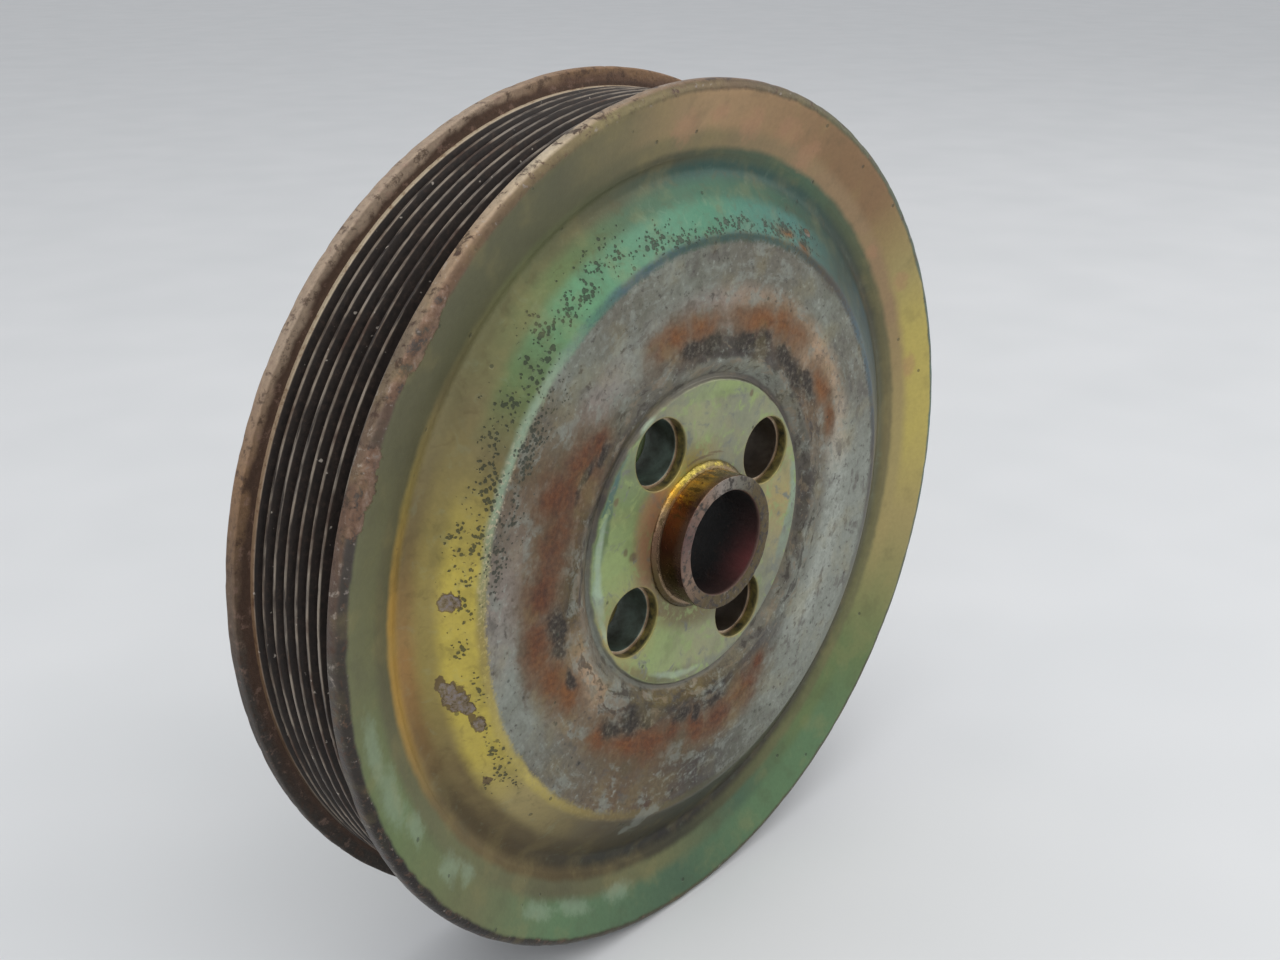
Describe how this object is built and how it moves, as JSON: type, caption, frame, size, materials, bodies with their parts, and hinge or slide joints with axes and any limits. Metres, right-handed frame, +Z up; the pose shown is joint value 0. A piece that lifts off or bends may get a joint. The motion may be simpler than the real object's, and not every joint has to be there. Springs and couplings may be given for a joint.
{
  "type": "ribbed belt pulley",
  "caption": "Flanged pulley for a V-ribbed belt, built up from pressed steel discs around a drilled hub with a centring tube.",
  "frame": {"origin": "centre of the rear bolting face, on the pulley's axis and in the middle of the belt", "axes": "+Y along the pulley's axis out of the rear bolting face, -Y out of the front, +Z up"},
  "size_m": [0.2022, 0.046, 0.2022],
  "materials": {
    "chromated_web": "yellow-passivated zinc on steel, iridescent, worn to grey zinc and rust near the hub",
    "belt_band": "near-black belt residue in the grooves, worn bare on the crests",
    "rear_web": "yellow-passivated zinc on steel, rusty at the flange",
    "hub_steel": "passivated steel, dull",
    "bolting_plate": "turned steel face, passivated, with seating marks",
    "tube_steel": "drawn tube, gold-brown passivation outside, rusty bore",
    "braze": "dull passivated braze",
    "weld": "rippled weld bead, passivated"
  },
  "bodies": {
    "root": {"front_disc": "chromated_web", "grooved_rim": "belt_band", "rear_disc": "rear_web", "hub_spacer": "hub_steel", "rear_hub_plate": "bolting_plate", "hub_tube": "tube_steel", "tube_front_braze": "braze", "tube_rear_braze": "braze", "spacer_front_braze": "braze", "spacer_rear_braze": "braze", "rear_plate_weld": "weld", "front_rim_braze": "braze", "rear_rim_braze": "braze"}
  },
  "joints": []
}
